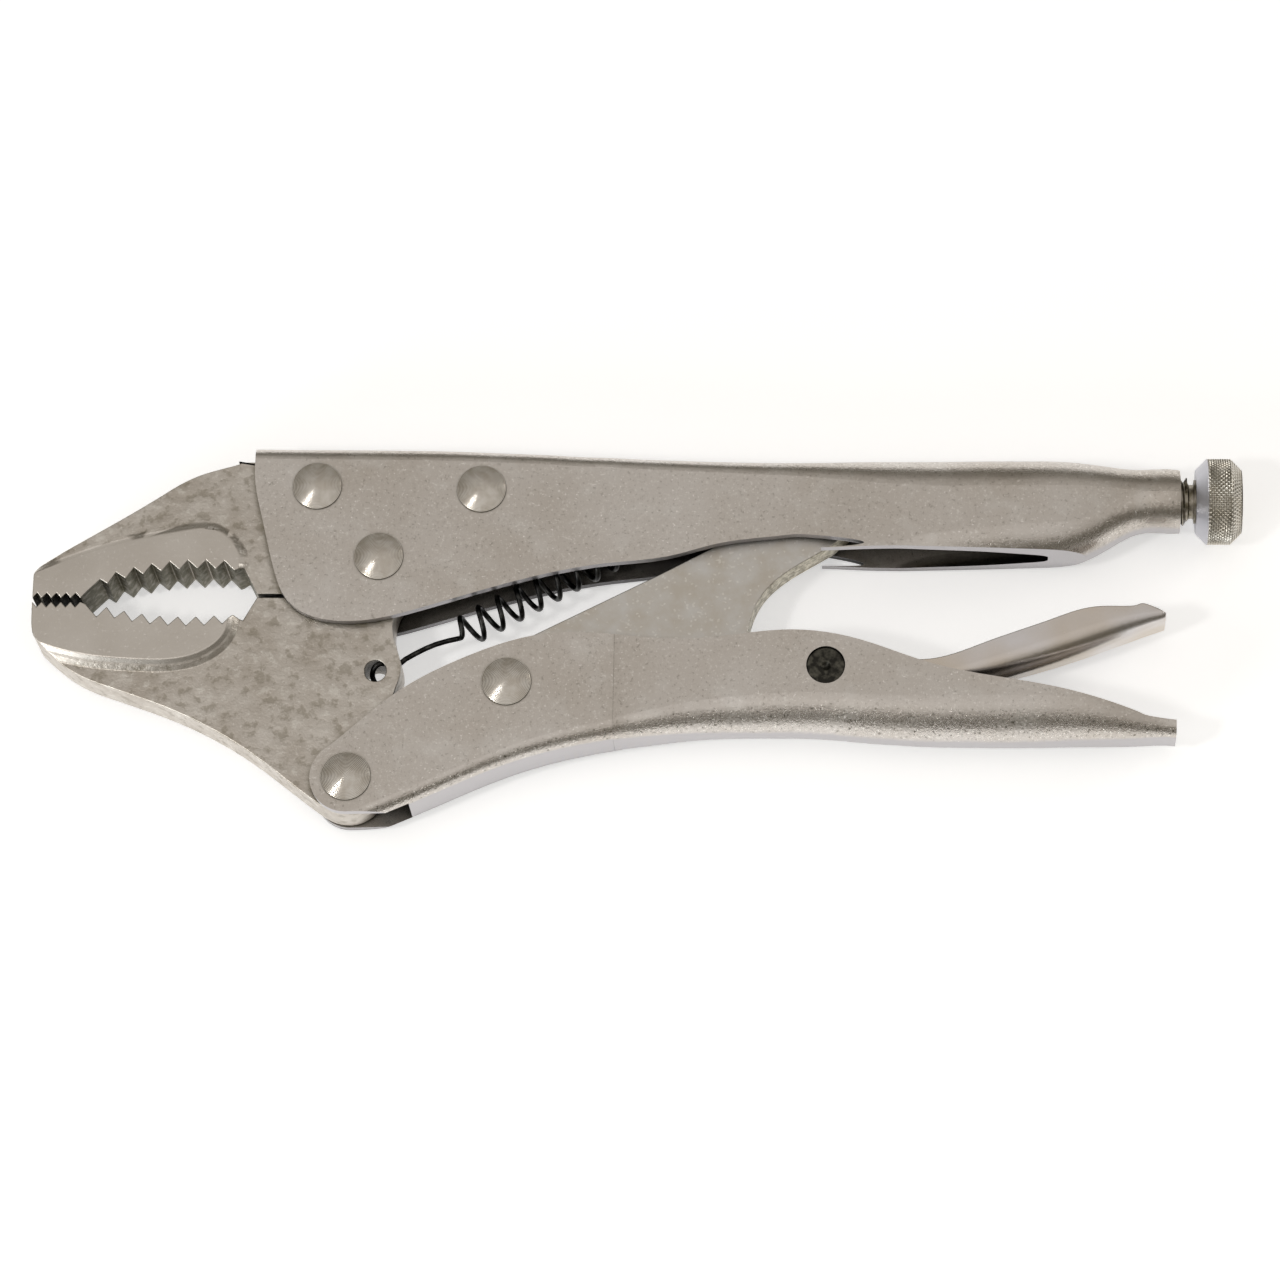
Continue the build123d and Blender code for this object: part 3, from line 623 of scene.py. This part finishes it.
screw_data = bpy.data.meshes.new("adjusting_screw_threaded")
work.to_mesh(screw_data)
work.free()
screw_data.set_sharp_from_angle(angle=radians(35))
screw = bpy.data.objects.new("adjusting_screw_threaded", screw_data)
bpy.context.scene.collection.objects.link(screw)
screw_paint, screw_shader, screw_place, _ = new_metal("screw_steel")
screw_grime = screw_place.noise(600.0, 3.0)
screw_tone = screw_grime.ramp((0.38, (0.20, 0.18, 0.13)), (0.64, (0.50, 0.46, 0.40)))
# Painted shade: the thread's roots and the corners at the neck are painted dark.
screw_root_shade = crevice(screw_place, 0.8 * mm, 0.35, 0.85)
screw_tone = screw_tone.tinted(screw_root_shade * 0.8, (0.05, 0.045, 0.025))
connect(
    screw_shader,
    Base_Color=screw_tone,
    Roughness=0.26 + screw_grime * 0.2,
    Normal=screw_grime.bump(0.3, 0.05 * mm),
)
screw_data.materials.append(screw_paint)
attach(screw, "adjusting_screw")
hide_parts("adjusting_screw")

# ------------------------------------------------------------------ adjusting knob
# Turned from bar, with a smooth chamfer at the front and a diamond knurl that runs out
# over the rear chamfer.
knob_radius = (knob_high.z - knob_low.z) / 2
knob_chamfer = 2.3 * mm
knurl_count = 58
knurl_depth = 0.38 * mm
knob_steps = knurl_count * 6
knurl_step = 0.16 * mm
work = bmesh.new()
knob_profile = [(knob_low.x, 0.0), (knob_low.x, knob_radius - knob_chamfer)]
knob_profile.append((knob_low.x + knob_chamfer - 0.25 * mm, knob_radius - 0.25 * mm))
rows_along = ceil((knob_high.x - knob_low.x - knob_chamfer) / knurl_step)
for row in range(rows_along + 1):
    x = knob_low.x + knob_chamfer + (knob_high.x - knob_low.x - knob_chamfer) * row / rows_along
    knob_profile.append((x, min(knob_radius, knob_radius - (x - (knob_high.x - knob_chamfer)))))
knob_profile.append((knob_high.x, knob_radius - knob_chamfer - 0.5 * mm))
knob_profile.append((knob_high.x, 0.0))


def knurled(x, radius, angle):
    """The radius of the knurled surface: pyramids between two sets of crossed grooves."""
    start = knob_low.x + knob_chamfer
    if x < start or x >= knob_high.x:
        return radius
    around = angle * knurl_count / (2 * pi)
    along = (x - start) / (2 * pi * knob_radius / knurl_count)
    one = abs((around + along) % 1.0 - 0.5) * 2
    two = abs((around - along) % 1.0 - 0.5) * 2
    fade = min(1.0, (x - start) / (0.4 * mm))
    return radius - knurl_depth * fade * (1 - min(1 - one, 1 - two) * 1.3)


before = None
for x, radius in knob_profile:
    if radius == 0:
        centre = work.verts.new((x, screw_y, screw_z))
        if before:
            for step in range(knob_steps):
                work.faces.new((before[step], before[(step + 1) % knob_steps], centre))
        before = centre
        continue
    ring = []
    for step in range(knob_steps):
        angle = 2 * pi * step / knob_steps
        r = min(knurled(x, radius, angle), radius)
        ring.append(work.verts.new((x, screw_y + r * cos(angle), screw_z + r * sin(angle))))
    for step in range(knob_steps):
        after = (step + 1) % knob_steps
        if isinstance(before, list):
            work.faces.new((before[step], before[after], ring[after], ring[step]))
        else:
            work.faces.new((before, ring[after], ring[step]))
    before = ring
bmesh.ops.recalc_face_normals(work, faces=work.faces)
for face in work.faces:
    face.smooth = True
knob_data = bpy.data.meshes.new("adjusting_knob_knurled")
work.to_mesh(knob_data)
work.free()
knob_data.set_sharp_from_angle(angle=radians(28))
knob = bpy.data.objects.new("adjusting_knob_knurled", knob_data)
bpy.context.scene.collection.objects.link(knob)
knob_paint, knob_shader, knob_place, _ = new_metal("knurled_steel")
knob_dy = knob_place.part(1) - screw_y
knob_dz = knob_place.part(2) - screw_z
knob_r = (knob_dy * knob_dy + knob_dz * knob_dz) ** 0.5
on_knurl = knob_place.part(0).smooth(knob_low.x + knob_chamfer, knob_low.x + knob_chamfer + 0.3 * mm)
knob_cloud = knob_place.noise(420.0, 3.0)
knob_tone = knob_cloud.ramp((0.35, (0.60, 0.56, 0.49)), (0.65, (0.72, 0.69, 0.63)))
knob_tone = knob_tone.tinted((1 - on_knurl) * 0.8, (0.52, 0.53, 0.60))
# Painted shade: the knurl's grooves are painted dark.
knurl_groove_shade = crevice(knob_place, 0.6 * mm, 0.40, 0.90)
knob_tone = knob_tone.tinted(knurl_groove_shade * on_knurl * 0.85, (0.10, 0.09, 0.05))
knob_rings = knob_r.maths("SINE", knob_r * (2 * pi / (0.25 * mm)))
knob_bump = (knob_rings * (1 - on_knurl)).bump(0.2, 0.012 * mm)
knob_fine = knob_place.noise(1800.0, 2.0).bump(0.25, 0.03 * mm, knob_bump)
connect(knob_shader, Base_Color=knob_tone, Roughness=0.27 + knob_cloud * 0.12, Normal=knob_fine)
knob_data.materials.append(knob_paint)
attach(knob, "adjusting_knob")
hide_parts("adjusting_knob")

# ------------------------------------------------------------------ tension spring
# Black oxide spring wire: a hook through the lower jaw's ear, an open coil and a hook on
# the tab inside the fixed handle.
wire_radius = 0.575 * mm
coil_radius = 3.2 * mm
ear_hole = jaw_pivot + Vector((-0.1 * mm, -24.3 * mm, 0))
ear_hole.z = middle_z
tab_hole = jaw_pivot + Vector((59.5 * mm, 9.4 * mm, 0))
tab_hole.z = middle_z
spring_way = (tab_hole - ear_hole).normalized()
spring_side = Vector((-spring_way.y, spring_way.x, 0))
spring_up = Vector((0, 0, 1))
spring_length = (tab_hole - ear_hole).length
coil_start = 19.0 * mm
coil_end = spring_length - 9.0 * mm
coil_turns = 9
turn_steps = 20
wire = []


def wire_point(along, side, up):
    wire.append(ear_hole + spring_way * along + spring_side * side + spring_up * up)


hook_radius = 2.2 * mm
for step in range(15):
    angle = radians(200 - 300 * step / 14)
    wire_point(
        hook_radius * 0.55 + hook_radius * cos(angle),
        hook_radius * 0.5 * sin(angle),
        hook_radius * 1.9 * sin(angle),
    )
for share in (0.25, 0.5, 0.75):
    wire_point(coil_start * share, 0.8 * mm * sin(pi * share), 0)
for step in range(coil_turns * turn_steps + 1):
    share = step / (coil_turns * turn_steps)
    grow = min(1.0, share * coil_turns * 2, (1 - share) * coil_turns * 2)
    angle = 2 * pi * coil_turns * share - pi / 2
    radius = coil_radius * (0.25 + 0.75 * grow)
    wire_point(coil_start + (coil_end - coil_start) * share, radius * sin(angle), radius * cos(angle))
for step in range(12):
    angle = radians(180 - 280 * step / 11)
    wire_point(spring_length + 1.2 * mm * cos(angle) - 0.6 * mm, 0, 1.2 * mm * sin(angle))

spring_line = bpy.data.curves.new("spring_line", "CURVE")
spring_line.dimensions = "3D"
spring_line.bevel_depth = wire_radius
spring_line.bevel_resolution = 3
spring_line.use_fill_caps = True
strand = spring_line.splines.new("NURBS")
strand.points.add(len(wire) - 1)
for point, place in zip(strand.points, wire):
    point.co = (*place, 1)
strand.order_u = 3
strand.use_endpoint_u = True
strand.resolution_u = 2
spring_curve = bpy.data.objects.new("spring_line", spring_line)
bpy.context.scene.collection.objects.link(spring_curve)
bpy.context.view_layer.update()
spring_mesh = bpy.data.meshes.new_from_object(
    spring_curve.evaluated_get(bpy.context.evaluated_depsgraph_get())
)
bpy.data.objects.remove(spring_curve)
spring_mesh.shade_smooth()
spring = bpy.data.objects.new("tension_spring_wound", spring_mesh)
bpy.context.scene.collection.objects.link(spring)
wire_paint, wire_shader, wire_place, _ = new_metal("spring_black")
wire_wear = wire_place.noise(700.0, 3.0)
wire_tone = wire_wear.ramp((0.45, (0.022, 0.022, 0.022)), (0.75, (0.10, 0.10, 0.095)))
connect(
    wire_shader,
    Base_Color=wire_tone,
    Roughness=0.28 + wire_wear * 0.2,
    Normal=wire_wear.bump(0.2, 0.03 * mm),
)
spring_mesh.materials.clear()
spring_mesh.materials.append(wire_paint)
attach(spring, "fixed_side")
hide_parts("tension_spring")
full_turn = radians(joints["jaw_pivot"]["range_deg"][1])
swung = Matrix.Rotation(full_turn, 3, "Z") @ (ear_hole - jaw_pivot) + jaw_pivot
pull = swung - ear_hole
pull_way = pull.normalized()
1 - pull.length / (tab_hole - ear_hole).dot(pull_way)
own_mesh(spring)
